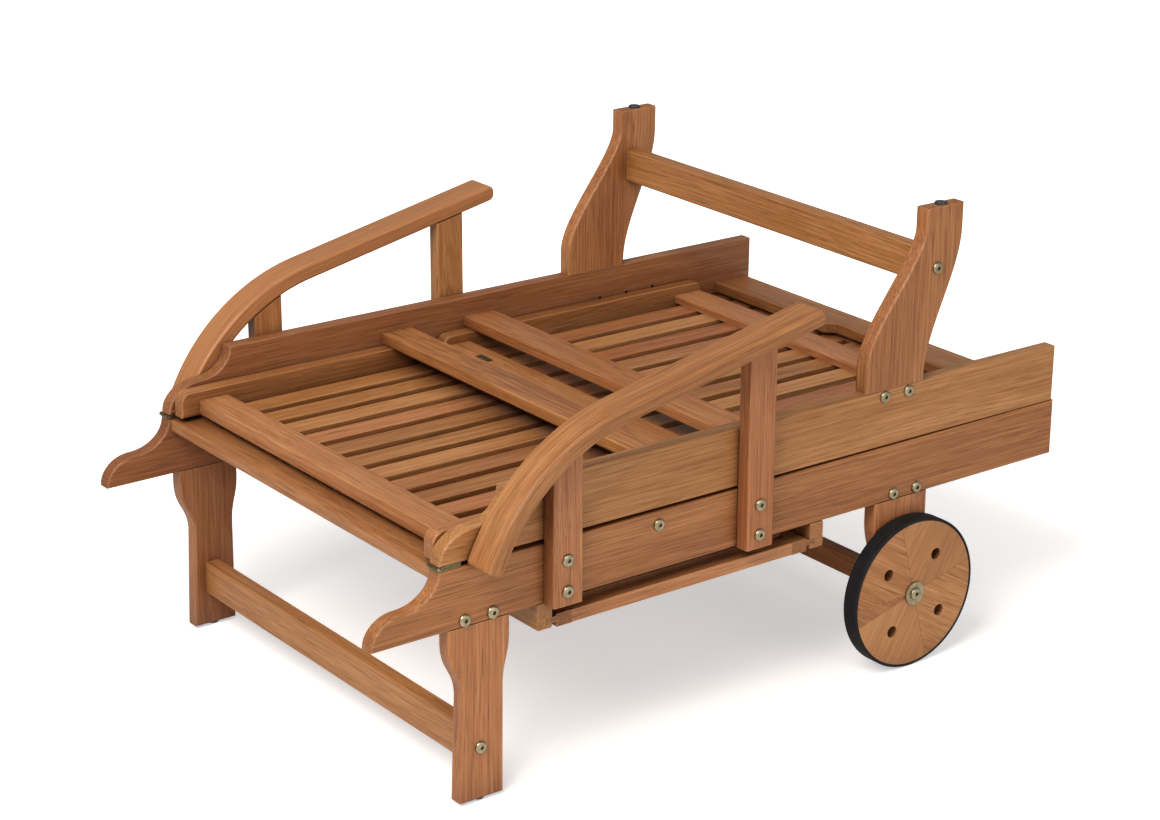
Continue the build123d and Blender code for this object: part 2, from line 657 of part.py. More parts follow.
def foot_leg():
    """Near foot leg: a long S sweep from the rail to the ground."""
    low = GLIDE_THICKNESS
    top = RAIL_BOTTOM
    inner, outer = -FOOT_LEG_S[0], -FOOT_LEG_S[1]
    toe_in, toe_out = -FOOT_TOE_S[0], -FOOT_TOE_S[1]
    outline = line((inner, 195.0), (inner, top), (outer, top), (outer, 222.0))
    outline += curve((outer, 222.0), (outer, 160.0), (toe_out, 95.0), (toe_out, 35.0))
    outline += line((toe_out, 35.0), (toe_out, low), (toe_in, low), (toe_in, 30.0))
    outline += curve((toe_in, 30.0), (toe_in, 70.0), (inner, 145.0), (inner, 195.0))
    leg = plate(outline, (-FOOT_OUT, -FOOT_IN), square_above=top)
    leg += foot_tenon()
    x, z = -FOOT_STRETCHER[0], FOOT_STRETCHER[1]
    leg -= pole(x, z, (-FOOT_OUT - 1, -FOOT_IN + 1), SHANK_RADIUS + FIT)
    for s in foot_bolt_s():
        leg -= pole(-s, RAIL_BOTTOM + 9.0, (-FOOT_OUT - 1, -FOOT_OUT + 18.0 + FIT), SHANK_RADIUS + FIT)
    return leg - glide_nail((toe_in + toe_out) / 2, low, FIT)


def hand_bar():
    """Bar at the free end of the foot frame, hollowed for the hand on its inner edge."""
    z = (HAND_BAR_Z - BAR_THICKNESS, HAND_BAR_Z)
    reach = FOOT_IN + BAR_TENON
    inner, outer = -HAND_BAR_S[0], -HAND_BAR_S[1]
    half, depth = HAND_HOLD[0] / 2, HAND_HOLD[1]
    run = 16.0
    near_curve = Bezier((inner, -half, 0), (inner, -half + run * 0.5, 0),
                        (inner - depth, -half + run * 0.5, 0), (inner - depth, -half + run, 0))
    far_curve = Bezier((inner - depth, half - run, 0), (inner - depth, half - run * 0.5, 0),
                       (inner, half - run * 0.5, 0), (inner, half, 0))
    edges = [Line((inner, -reach, 0), (inner, -half, 0)), near_curve,
             Line((inner - depth, -half + run, 0), (inner - depth, half - run, 0)), far_curve,
             Line((inner, half, 0), (inner, reach, 0)), Line((inner, reach, 0), (outer, reach, 0)),
             Line((outer, reach, 0), (outer, -reach, 0)), Line((outer, -reach, 0), (inner, -reach, 0))]
    body = extrude(Face(Wire(edges)), BAR_THICKNESS, dir=(0, 0, 1)).moved(Pos(0, 0, z[0]))
    rims = body.edges().filter_by(Axis.Z, reverse=True).filter_by(Axis.X, reverse=True)
    return fillet(rims, EDGE)


def foot_cross_bar(span):
    """Flat bar across the foot rails that the leg-rest panels lie on."""
    reach = FOOT_IN + BAR_TENON
    return board((-span[1], -span[0]), (-reach, reach), (BAR_Z - BAR_THICKNESS, BAR_Z), Axis.Y)


# ------------------------------------------------------------------ panels
def stile(start, end, top, depth, y, round_start, round_end):
    """Side member of a panel: under-corners rounded at both ends."""
    low = top - depth
    k = 0.45
    outline = line((start, low + round_start), (start, top), (end, top), (end, low + round_end))
    sign = 1.0 if end > start else -1.0
    outline += curve((end, low + round_end), (end, low + k * round_end),
                     (end - sign * k * round_end, low), (end - sign * round_end, low))
    outline += line((end - sign * round_end, low), (start + sign * round_start, low))
    outline += curve((start + sign * round_start, low), (start + sign * k * round_start, low),
                     (start, low + k * round_start), (start, low + round_start))
    return plate(outline, y, 2.0)


def panel_bar(span, rebate_side):
    """Cross member of a leg-rest panel; the slats lie in its rebate, flush on top."""
    z = (PANEL_TOP - PANEL_BAR_DEPTH, PANEL_TOP)
    bar = board(span, (-STILE_IN, STILE_IN), z, Axis.Y)
    cut = (span[0] - 1, span[0] + REBATE) if rebate_side < 0 else (span[1] - REBATE, span[1] + 1)
    return bar - block(cut, (-STILE_IN - 1, STILE_IN + 1), (PANEL_TOP - SLAT_THICKNESS, PANEL_TOP + 1))


def knee_stile():
    y = (-STILE_OUT, -STILE_IN)
    body = stile(-KNEE_JOINT_S + JOINT_GAP / 2, -KNEE_START, PANEL_TOP, PANEL_DEPTH, y, 12.0, 14.0)
    hole = (y[0] - 1, y[0] + PANEL_STILE * 0.6 + 0.5)
    return body - pole(-KNEE_PIVOT[0], KNEE_PIVOT[1], hole, PIVOT_RADIUS + RUNNING)


def calf_stile():
    y = (-STILE_OUT, -STILE_IN)
    return stile(-CALF_END, -KNEE_JOINT_S - JOINT_GAP / 2, PANEL_TOP, PANEL_DEPTH, y, 10.0, 12.0)


def knee_bars():
    """Front bar and joint bar of the knee panel."""
    first = (-34.0 - KNEE_BAR, -34.0)
    last = (-KNEE_JOINT_S + JOINT_GAP / 2, -KNEE_JOINT_S + JOINT_GAP / 2 + KNEE_BAR)
    return first, last


def calf_bars():
    """Joint bar and end bar of the calf panel."""
    first = (-KNEE_JOINT_S - JOINT_GAP / 2 - CALF_BAR, -KNEE_JOINT_S - JOINT_GAP / 2)
    last = (-CALF_END, -CALF_END + CALF_BAR + 5.0)
    return first, last


def panel_slats(low_bar, high_bar):
    """Slats of a leg-rest panel between two of its bars."""
    x = (low_bar[1] - REBATE + FIT, high_bar[0] + REBATE - FIT)
    return slats(x, (PANEL_TOP - SLAT_THICKNESS, PANEL_TOP), 2 * STILE_IN)


def calf_joint_bar():
    """Joint bar of the calf panel with the finger hollow in its edge."""
    span = calf_bars()[0]
    bar = panel_bar(span, -1)
    scoop = Pos(span[1] + 3.0, 0, 0) * Box(14.0, 70.0, 200.0)
    scoop = fillet(scoop.edges().filter_by(Axis.Z).sort_by(Axis.X)[:2], 6.5)
    return bar - scoop.moved(Pos(0, 0, PANEL_TOP))


def knee_pin():
    """Near pivot pin of the knee panel, held in the foot rail."""
    reach = -STILE_OUT + PANEL_STILE * 0.6
    return pole(-KNEE_PIVOT[0], KNEE_PIVOT[1], (-FOOT_IN - 12.0, reach), PIVOT_RADIUS)


# ------------------------------------------------------------------ hinges
def knuckles(x, z, y, radius, count, owned):
    """Alternate segments of a hinge barrel along Y."""
    pitch = (y[1] - y[0]) / count
    parts = []
    for i in owned:
        parts.append(pole(x, z, (y[0] + i * pitch + 0.1, y[0] + (i + 1) * pitch - 0.1), radius))
    return parts


def leaf_hinge(x, z, y, length, side, face, owned, count, radius, thick, pin):
    """One leaf with its knuckles: side is the leaf's way from the pin, face its level."""
    near_edge = x + side * (radius + 0.5)
    span = sorted((near_edge, x + side * length))
    low = sorted((face, face + (thick if face < z else -thick)))
    leaf = block(span, y, low)
    leaf = fillet(leaf.edges().filter_by(Axis.Z), 0.8)
    pitch = (y[1] - y[0]) / count
    for i, barrel in zip(owned, knuckles(x, z, y, radius, count, owned)):
        neck = sorted((x, near_edge + side * 1.0))
        neck_y = (y[0] + i * pitch + 0.1, y[0] + (i + 1) * pitch - 0.1)
        leaf += block(neck, neck_y, low)
        leaf += barrel
    leaf -= pole(x, z, (y[0] - 1, y[1] + 1), pin + RUNNING)
    return leaf


def main_leaf():
    """Hinge leaf on the near main rail."""
    y = (-MAIN_OUT + 1.0, -MAIN_IN - 0.5)
    return leaf_hinge(0.0, HINGE_Z, y, LEAF_LENGTH, 1, DECK_HEIGHT, (0, 2, 4), 5,
                      KNUCKLE_RADIUS, LEAF, PIN_RADIUS)


def foot_leaf():
    """Hinge leaf on the near foot rail, in its unfolded place."""
    y = (-MAIN_OUT + 1.0, -MAIN_IN - 0.5)
    return leaf_hinge(0.0, HINGE_Z, y, LEAF_LENGTH, -1, DECK_HEIGHT, (1, 3), 5,
                      KNUCKLE_RADIUS, LEAF, PIN_RADIUS)


def hinge_pin():
    return pole(0.0, HINGE_Z, (-MAIN_OUT + 1.0, -MAIN_IN - 0.5), PIN_RADIUS)


def joint_axis():
    """Place of the knee joint's hinge line, unfolded."""
    return (-KNEE_JOINT_S, PANEL_TOP - PANEL_BAR_DEPTH - 1.9)


def joint_leaf(side, owned):
    """Leaf of a small hinge under the knee joint, at the near side of the panels."""
    x, z = joint_axis()
    y = (-215.0, -189.0)
    return leaf_hinge(x, z, y, 20.0, side, z + 1.9, owned, 5, 1.8, 1.6, 0.9)


def joint_pin():
    x, z = joint_axis()
    return pole(x, z, (-215.0, -189.0), 0.9)


# ------------------------------------------------------------------ backrest and prop
def back_stile():
    """Near stile of the backrest: round end about its pivot."""
    top = deck_level()
    depth = PANEL_DEPTH
    y = (-STILE_OUT - 0.5, -STILE_IN)
    radius = depth / 2
    mid = top - radius
    outline = line((BACK_PIVOT[0], top), (BACK_END, top), (BACK_END, top - depth),
                   (BACK_PIVOT[0], top - depth))
    outline += sweep_arc((BACK_PIVOT[0], mid), radius, -90.0, -270.0)
    body = plate(outline, y, 2.0)
    body -= pole(*BACK_PIVOT, (y[0] - 1, y[1] + 1), SHANK_RADIUS + RUNNING)
    return body - pole(*PROP_PIVOT, (y[0] + 6.0, y[1] + 1), PIVOT_RADIUS + FIT)


def back_bars():
    """Lower and upper cross member of the backrest."""
    return (BACK_PIVOT[0] + 6.0, BACK_PIVOT[0] + 6.0 + PANEL_BAR), (BACK_END - PANEL_BAR, BACK_END)


def back_bar(span, rebate_side):
    top = deck_level()
    bar = board(span, (-STILE_IN, STILE_IN), (top - BAR_THICKNESS, top), Axis.Y)
    cut = (span[0] - 1, span[0] + REBATE) if rebate_side < 0 else (span[1] - REBATE, span[1] + 1)
    return bar - block(cut, (-STILE_IN - 1, STILE_IN + 1), (top - SLAT_THICKNESS, top + 1))


def back_slats():
    low, high = back_bars()
    top = deck_level()
    x = (low[1] - REBATE + FIT, high[0] + REBATE - FIT)
    return slats(x, (top - SLAT_THICKNESS, top), 2 * STILE_IN)


def prop_arm():
    """Near arm of the prop, hung on the backrest stile."""
    y = (-STILE_IN + 1.0, -STILE_IN + 1.0 + PROP_ARM)
    radius = PROP_ARM_DEPTH / 2
    foot = (PROP_PIVOT[0] + PROP_REACH, PROP_PIVOT[1] - PROP_DROP)
    dip = math.degrees(math.atan2(-PROP_DROP, PROP_REACH))
    up = math.radians(dip + 90.0)
    over = (radius * math.cos(up), radius * math.sin(up))
    a = (PROP_PIVOT[0] + over[0], PROP_PIVOT[1] + over[1])
    b = (foot[0] + over[0], foot[1] + over[1])
    c = (foot[0] - over[0], foot[1] - over[1])
    d = (PROP_PIVOT[0] - over[0], PROP_PIVOT[1] - over[1])
    outline = line(a, b) + sweep_arc(foot, radius, dip + 90.0, dip - 90.0)
    outline += line(c, d) + sweep_arc(PROP_PIVOT, radius, dip - 90.0, dip - 270.0)
    body = plate(outline, y, 1.5)
    body -= pole(*PROP_PIVOT, (y[0] - 1, y[1] + 1), PIVOT_RADIUS + RUNNING)
    return body - pole(*foot, (y[0] - 1, y[1] + 1), PROP_BAR_RADIUS + FIT / 2)


def prop_bar():
    """Round bar across the prop's foot that stands on the notched strips."""
    foot = (PROP_PIVOT[0] + PROP_REACH, PROP_PIVOT[1] - PROP_DROP)
    body = pole(*foot, (-MAIN_IN + 2.0, MAIN_IN - 2.0), PROP_BAR_RADIUS)
    return fillet(body.edges().filter_by(GeomType.CIRCLE), 1.5)


def prop_pin():
    """Near pivot pin between the prop and the backrest stile."""
    return pole(*PROP_PIVOT, (-STILE_OUT - 0.5 + 7.0, -STILE_IN + 1.0 + PROP_ARM), PIVOT_RADIUS)


# ------------------------------------------------------------------ writing the nodes
def write_main_frame():
    """Everything that stays put when the lounger is folded or unfolded."""
    rail = main_rail()
    save("main_rail_near", rail)
    save("main_rail_far", far(rail))
    leg = front_leg()
    save("front_legs", leg, far(leg))
    rear = wheel_leg()
    save("wheel_legs", rear, far(rear))
    save("front_stretcher", stretcher(LEG_STRETCHER, STRETCHER_DEPTH, MAIN_IN, SHANK_RADIUS, 39.0))
    axle = (AXLE_X, WHEEL_RADIUS)
    save("axle_bar", stretcher(axle, AXLE_BAR_DEPTH, MAIN_IN, AXLE_RADIUS, 39.0))
    bottom = deck_level() - BAR_THICKNESS
    reach = MAIN_IN + BAR_TENON
    save("seat_bars", flat_bar(SEAT_FRONT_BAR, bottom, reach, 1), flat_bar(SEAT_REAR_BAR, bottom, reach, -1))
    save("back_support_bar", flat_bar(END_BAR, end_bar_top() - BAR_THICKNESS, reach))
    save("seat_slats", *seat_slats())
    save("prop_racks", rack(), far(rack()))
    save("tray_runners", *[runner(x) for x in RUNNER_X])
    glide_x = (LEG_X[0] + LEG_X[1]) / 2 + 2.0
    save("front_leg_glides", glide(glide_x), far(glide(glide_x)))


def write_arms():
    piece = arm()
    save("arm_near", piece)
    save("arm_far", far(piece))
    for name, x in (("front", POST_CENTRES[0]), ("rear", POST_CENTRES[1])):
        support = post(x)
        save("arm_posts_" + name, support, far(support))
    pins = [post_dowels(x) for x in POST_CENTRES]
    save("arm_dowels", *pins, *[far(pin) for pin in pins])


def write_main_hardware():
    legs = [bolt(x, z, -MAIN_OUT, 18.0) for x, z in main_rail_bolts()]
    legs.append(bolt(*LEG_STRETCHER, -MAIN_OUT, BOARD + 36.0))
    save("leg_bolts", *legs, *[far(b) for b in legs])
    nuts = barrel_nuts(LEG_STRETCHER, MAIN_IN, 39.0, SHANK_RADIUS)
    nuts += barrel_nuts((AXLE_X, WHEEL_RADIUS), MAIN_IN, 39.0, AXLE_RADIUS)
    save("barrel_nuts", *nuts)
    screws = [runner_screw(x + BOARD / 2) for x in RUNNER_X]
    save("runner_screws", *screws, *[far(s) for s in screws])
    posts = []
    for x in POST_CENTRES:
        posts += [bolt(x - 1.5, z, -MAIN_OUT - BOARD, BOARD + 14.0) for z in POST_BOLT_Z]
    save("post_bolts", *posts, *[far(b) for b in posts])
    pivot = bolt(*BACK_PIVOT, -MAIN_OUT, RAIL_THICKNESS + 18.0)
    save("back_pivot_bolts", pivot, far(pivot))
    axle = axle_bolt()
    save("axle_bolts", axle, far(axle))
    rings = axle_washers()
    save("axle_washers", *rings, *[far(ring) for ring in rings])
    save("hinge_leaves_main", main_leaf(), far(main_leaf()))
    save("hinge_pins", hinge_pin(), far(hinge_pin()))


def write_wheels():
    wedges = wheel_wedges()
    save("wheel_disc_near", *wedges)
    save("wheel_disc_far", *[far(wedge) for wedge in wedges])
    save("tyre_near", tyre())
    save("tyre_far", far(tyre()))


def write_tray():
    save("tray_sides", tray_rail(-1), tray_rail(1))
    save("tray_edges", tray_edge(-1), tray_edge(1))
    save("tray_slats", *tray_slats())


def write_foot_frame():
    rail = fold(foot_rail())
    save("foot_rail_near", rail)
    save("foot_rail_far", far(rail))
    leg = fold(foot_leg())
    save("foot_legs", leg, far(leg))
    centre = (-FOOT_STRETCHER[0], FOOT_STRETCHER[1])
    cross = stretcher(centre, STRETCHER_DEPTH, FOOT_IN, SHANK_RADIUS, 39.0, -1)
    save("foot_stretcher", fold(cross))
    save("foot_cross_bars", *[fold(foot_cross_bar(span)) for span in (KNEE_BAR_S, CALF_BAR_S)])
    save("hand_bar", fold(hand_bar()))
    bolts = [bolt(-s, RAIL_BOTTOM + 9.0, -FOOT_OUT, 18.0) for s in foot_bolt_s()]
    bolts.append(bolt(*centre, -FOOT_OUT, BOARD + 36.0))
    bolts = [fold(b) for b in bolts]
    save("foot_leg_bolts", *bolts, *[far(b) for b in bolts])
    nuts = barrel_nuts(centre, FOOT_IN, 39.0, SHANK_RADIUS, -1)
    save("foot_barrel_nuts", *[fold(nut) for nut in nuts])
    pad = fold(glide(-(FOOT_TOE_S[0] + FOOT_TOE_S[1]) / 2))
    save("foot_leg_glides", pad, far(pad))
    leaf = fold(foot_leaf())
    save("hinge_leaves_foot", leaf, far(leaf))
    pin = fold(knee_pin())
    save("knee_pivot_pins", pin, far(pin))


def write_leg_rest():
    side = fold(knee_stile())
    save("knee_stiles", side, far(side))
    first, last = knee_bars()
    save("knee_bars", fold(panel_bar(first, -1)), fold(panel_bar(last, 1)))
    save("knee_slats", *[fold(s) for s in panel_slats(last, first)])
    leaf = fold(joint_leaf(1, (0, 2, 4)))
    save("joint_leaves_knee", leaf, far(leaf))
    pin = fold(joint_pin())
    save("joint_pins", pin, far(pin))
    side = fold(calf_stile())
    save("calf_stiles", side, far(side))
    first, last = calf_bars()
    save("calf_joint_bar", fold(calf_joint_bar()))
    save("calf_end_bar", fold(panel_bar(last, 1)))
    save("calf_slats", *[fold(s) for s in panel_slats(last, first)])
    leaf = fold(joint_leaf(-1, (1, 3)))
    save("joint_leaves_calf", leaf, far(leaf))


def write_backrest():
    side = back_stile()
    save("back_stiles", side, far(side))
    low, high = back_bars()
    save("back_bars", back_bar(low, 1), back_bar(high, -1))
    save("back_slats", *back_slats())
    save("prop_pivot_pins", prop_pin(), far(prop_pin()))
    save("prop_arms", prop_arm(), far(prop_arm()))
    save("prop_bar", prop_bar())


os.makedirs("parts", exist_ok=True)
write_main_frame()
write_arms()
write_main_hardware()
write_wheels()
write_tray()
write_foot_frame()
write_leg_rest()
write_backrest()
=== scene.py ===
import math

import bpy
from mathutils import Matrix, Vector

# Folding wooden sun lounger, folded in half.  Metres, in the CAD part's own frame: +X along
# the rails to the wheel end, +Y to the far side, +Z up, origin on the ground below its middle.

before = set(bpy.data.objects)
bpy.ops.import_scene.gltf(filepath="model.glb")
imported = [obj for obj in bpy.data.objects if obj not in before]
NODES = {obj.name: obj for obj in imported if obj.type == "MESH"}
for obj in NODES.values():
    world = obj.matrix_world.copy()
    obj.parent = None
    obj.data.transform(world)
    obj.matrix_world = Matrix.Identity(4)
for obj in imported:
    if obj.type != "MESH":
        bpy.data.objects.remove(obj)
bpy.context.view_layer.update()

AXLE = (0.2722, 0.1014)          # wheel centre in X and Z
WHEEL_SEAM = math.radians(15.0)  # first joint between the quarters of a wheel
ARM_CENTRE = (-0.1606, 0.2024)   # centre of the arms' bend in X and Z
ARM_RADIUS = 0.258               # middle line of the bend
ARM_SLOPE = math.radians(11.6)   # rise of the straight part
QUARTER = math.pi / 2


# ------------------------------------------------------------------ shader helpers
class Tree:
    """Small wrapper that adds nodes and links them in one call."""

    def __init__(self, tree):
        self.tree = tree

    def add(self, kind, **settings):
        node = self.tree.nodes.new(kind)
        for key, value in settings.items():
            setattr(node, key, value)
        return node

    def put(self, value, socket):
        if isinstance(value, bpy.types.NodeSocket):
            self.tree.links.new(value, socket)
        else:
            socket.default_value = value

    def math(self, operation, a, b=0.0, c=0.0):
        node = self.add("ShaderNodeMath", operation=operation)
        for i, value in enumerate((a, b, c)):
            self.put(value, node.inputs[i])
        return node.outputs[0]

    def vector(self, operation, a, b=(0.0, 0.0, 0.0)):
        node = self.add("ShaderNodeVectorMath", operation=operation)
        self.put(a, node.inputs[0])
        self.put(b, node.inputs[1])
        return node.outputs["Value"] if operation in ("DOT_PRODUCT", "LENGTH") else node.outputs[0]

    def split(self, a):
        node = self.add("ShaderNodeSeparateXYZ")
        self.put(a, node.inputs[0])
        return node.outputs

    def join(self, x, y, z):
        node = self.add("ShaderNodeCombineXYZ")
        for i, value in enumerate((x, y, z)):
            self.put(value, node.inputs[i])
        return node.outputs[0]

    def noise(self, where, scale, detail=3.0, rough=0.55, distortion=0.0, dims="3D"):
        node = self.add("ShaderNodeTexNoise", noise_dimensions=dims)
        self.put(where, node.inputs["Vector"])
        self.put(scale, node.inputs["Scale"])
        self.put(detail, node.inputs["Detail"])
        self.put(rough, node.inputs["Roughness"])
        self.put(distortion, node.inputs["Distortion"])
        return node.outputs[0]

    def stretch(self, where, along, across):
        return self.vector("MULTIPLY", where, (along, across, across))

    def clamp_range(self, value, a, b, to_a=0.0, to_b=1.0):
        node = self.add("ShaderNodeMapRange")
        node.clamp = True
        limits = {"Value": value, "From Min": a, "From Max": b, "To Min": to_a, "To Max": to_b}
        for key, number in limits.items():
            self.put(number, node.inputs[key])
        return node.outputs[0]

    def mix(self, factor, a, b, blend="MIX"):
        node = self.add("ShaderNodeMix", data_type="RGBA", blend_type=blend)
        self.put(factor, node.inputs[0])
        self.put(a, node.inputs[6])
        self.put(b, node.inputs[7])
        return node.outputs[2]

    def ramp(self, value, stops):
        node = self.add("ShaderNodeValToRGB")
        self.put(value, node.inputs[0])
        ramp = node.color_ramp
        while len(ramp.elements) < len(stops):
            ramp.elements.new(0.5)
        for element, (place, colour) in zip(ramp.elements, stops):
            element.position = place
            element.color = (*colour, 1.0)
        return node.outputs[0]


# ------------------------------------------------------------------ wood
LIGHT = (0.520, 0.240, 0.092)
WARM = (0.378, 0.148, 0.043)
MID = (0.266, 0.090, 0.022)
DEEP = (0.125, 0.038, 0.010)


def wood_group():
    """Node group: grain coordinates and a board number in, colour, roughness and height out."""
    group = bpy.data.node_groups.new("oiled_hardwood", "ShaderNodeTree")
    face = group.interface
    face.new_socket("Grain", in_out="INPUT", socket_type="NodeSocketVector")
    face.new_socket("Board", in_out="INPUT", socket_type="NodeSocketFloat")
    face.new_socket("End", in_out="INPUT", socket_type="NodeSocketFloat")
    face.new_socket("Colour", in_out="OUTPUT", socket_type="NodeSocketColor")
    face.new_socket("Roughness", in_out="OUTPUT", socket_type="NodeSocketFloat")
    face.new_socket("Height", in_out="OUTPUT", socket_type="NodeSocketFloat")
    t = Tree(group)
    given = t.add("NodeGroupInput")
    result = t.add("NodeGroupOutput")
    grain, board, end = given.outputs["Grain"], given.outputs["Board"], given.outputs["End"]

    # every board is cut from another place in the log
    white = t.add("ShaderNodeTexWhiteNoise", noise_dimensions="1D")
    t.put(board, white.inputs["W"])
    chance = t.split(white.outputs["Color"])
    shift = t.join(t.math("MULTIPLY", chance[0], 7.0), t.math("MULTIPLY", chance[1], 2.0),
                   t.math("MULTIPLY", chance[2], 2.0))
    place = t.vector("ADD", grain, shift)

    # grain wanders slowly along the board
    wander = t.noise(t.stretch(place, 1.6, 7.0), 1.0, 2.0, 0.5)
    lean = t.math("MULTIPLY", t.math("SUBTRACT", wander, 0.5), 0.030)
    u, v, w = t.split(place)
    _, flat_v, flat_w = t.split(grain)
    bent = t.join(u, t.math("ADD", v, lean), t.math("ADD", w, lean))

    # growth rings about a heart that lies outside the board and drifts along it
    heart_v = t.math("ADD", flat_v, t.math("ADD", t.math("MULTIPLY", chance[1], 0.05), 0.045))
    heart_w = t.math("ADD", flat_w, t.math("SUBTRACT", t.math("MULTIPLY", chance[2], 0.10), 0.05))
    drift = t.math("MULTIPLY", t.math("SUBTRACT", t.noise(t.stretch(place, 0.9, 2.0), 1.0, 1.0), 0.5), 0.09)
    radius = t.vector("LENGTH", t.join(0.0, t.math("ADD", t.math("ADD", heart_v, lean), drift),
                                       t.math("ADD", heart_w, lean)))
    uneven = t.noise(t.stretch(place, 2.5, 30.0), 1.0, 3.0, 0.6)
    phase = t.math("ADD", t.math("MULTIPLY", radius, 210.0), t.math("MULTIPLY", uneven, 2.6))
    saw = t.math("FRACT", phase)
    late = t.clamp_range(saw, 0.45, 0.93)
    early = t.clamp_range(saw, 0.93, 1.0, 0.0, 1.0)
    ring = t.math("SUBTRACT", late, early)

    streak = t.noise(t.stretch(bent, 2.6, 210.0), 1.0, 6.0, 0.72)
    fibre = t.noise(t.stretch(bent, 11.0, 700.0), 1.0, 3.0, 0.65)
    patch = t.noise(t.stretch(place, 1.6, 11.0), 1.0, 2.0, 0.5)
    dash = t.noise(t.stretch(bent, 17.0, 820.0), 1.0, 1.5, 0.5)
    pore = t.clamp_range(dash, 0.585, 0.70)

    tone = t.math("MULTIPLY", t.math("SUBTRACT", streak, 0.5), 1.15)
    tone = t.math("ADD", tone, t.math("MULTIPLY", t.math("SUBTRACT", fibre, 0.5), 1.0))
    tone = t.math("ADD", tone, t.math("MULTIPLY", t.math("SUBTRACT", patch, 0.5), 0.75))
    tone = t.math("SUBTRACT", tone, t.math("MULTIPLY", ring, 0.11))
    tone = t.math("ADD", tone, t.math("MULTIPLY", t.math("SUBTRACT", chance[0], 0.5), 0.24))
    tone = t.math("ADD", tone, 0.60)
    colour = t.ramp(tone, [(0.0, DEEP), (0.33, MID), (0.62, WARM), (1.0, LIGHT)])
    pores = t.math("MULTIPLY", pore, 0.58)
    colour = t.mix(pores, colour, (0.115, 0.036, 0.011, 1.0))

    # hue drifts between redder and yellower boards
    hue = t.add("ShaderNodeHueSaturation")
    t.put(t.math("ADD", 0.493, t.math("MULTIPLY", chance[2], 0.013)), hue.inputs["Hue"])
    t.put(0.98, hue.inputs["Saturation"])
    t.put(t.math("ADD", 0.93, t.math("MULTIPLY", chance[1], 0.16)), hue.inputs["Value"])
    t.put(colour, hue.inputs["Color"])
    colour = hue.outputs[0]

    # end grain drinks more oil: darker, with open pores
    speck = t.noise(t.vector("MULTIPLY", place, (900.0, 900.0, 900.0)), 1.0, 2.0, 0.6)
    end_colour = t.mix(t.clamp_range(speck, 0.40, 0.72), colour, (0.12, 0.045, 0.018, 1.0))
    end_colour = t.mix(t.math("MULTIPLY", ring, 0.35), end_colour, (0.16, 0.06, 0.024, 1.0))
    colour = t.mix(t.math("MULTIPLY", end, 0.75), colour, end_colour)

    rough = t.math("ADD", 0.44, t.math("MULTIPLY", t.math("SUBTRACT", streak, 0.5), 0.22))
    open_wood = t.math("ADD", t.math("MULTIPLY", pore, 0.18), t.math("MULTIPLY", end, 0.15))
    rough = t.math("ADD", rough, open_wood)
    raised = t.math("ADD", t.math("MULTIPLY", fibre, 0.35), t.math("MULTIPLY", streak, 0.45))
    sunk = t.math("ADD", t.math("MULTIPLY", pore, 0.55), t.math("MULTIPLY", ring, 0.12))
    height = t.math("SUBTRACT", raised, sunk)
    t.put(colour, result.inputs["Colour"])
    t.put(rough, result.inputs["Roughness"])
    t.put(height, result.inputs["Height"])
    return group


WOOD = wood_group()


def board_number(t, place, seed, pitch=0.0, split_x=None, sides=True):
    """A number of its own for each board of a node."""
    x, y, z = place
    number = seed
    if pitch:
        row = t.math("FLOOR", t.math("ADD", t.math("DIVIDE", y, pitch), 0.5))
        number = t.math("ADD", number, t.math("MULTIPLY", row, 1.7))
    elif sides:
        number = t.math("ADD", number, t.math("MULTIPLY", t.math("GREATER_THAN", y, 0.0), 3.3))
    if split_x is not None:
        number = t.math("ADD", number, t.math("MULTIPLY", t.math("GREATER_THAN", x, split_x), 5.9))
    return number


def arm_grain(t, place):
    """Grain that follows the arm: round the bend, then up the straight."""
    x, y, z = place
    dx, dz = t.math("SUBTRACT", x, ARM_CENTRE[0]), t.math("SUBTRACT", z, ARM_CENTRE[1])
    angle = t.math("ARCTAN2", dz, dx)
    bend_radius = t.vector("LENGTH", t.join(dx, 0.0, dz))
    bend_u = t.math("MULTIPLY", angle, -ARM_RADIUS)
    up = (-math.sin(ARM_SLOPE), math.cos(ARM_SLOPE))
    along = t.math("ADD", t.math("MULTIPLY", dx, up[1]), t.math("MULTIPLY", dz, -up[0]))
    straight_r = t.math("ADD", t.math("MULTIPLY", dx, up[0]), t.math("MULTIPLY", dz, up[1]))
    straight_u = t.math("ADD", along, -(math.pi / 2 + ARM_SLOPE) * ARM_RADIUS)
    past = t.math("GREATER_THAN", along, 0.0)
    u = t.math("ADD", t.math("MULTIPLY", past, straight_u),
               t.math("MULTIPLY", t.math("SUBTRACT", 1.0, past), bend_u))
    r = t.math("ADD", t.math("MULTIPLY", past, straight_r),
               t.math("MULTIPLY", t.math("SUBTRACT", 1.0, past), bend_radius))
    return t.join(u, r, y)


def about_axle(t, place):
    """Offsets from the axle in X and Z, and quarter turns past the first seam."""
    x, _, z = place
    dx, dz = t.math("SUBTRACT", x, AXLE[0]), t.math("SUBTRACT", z, AXLE[1])
    turn = t.math("SUBTRACT", t.math("ARCTAN2", dz, dx), WHEEL_SEAM)
    return dx, dz, t.math("DIVIDE", turn, QUARTER)


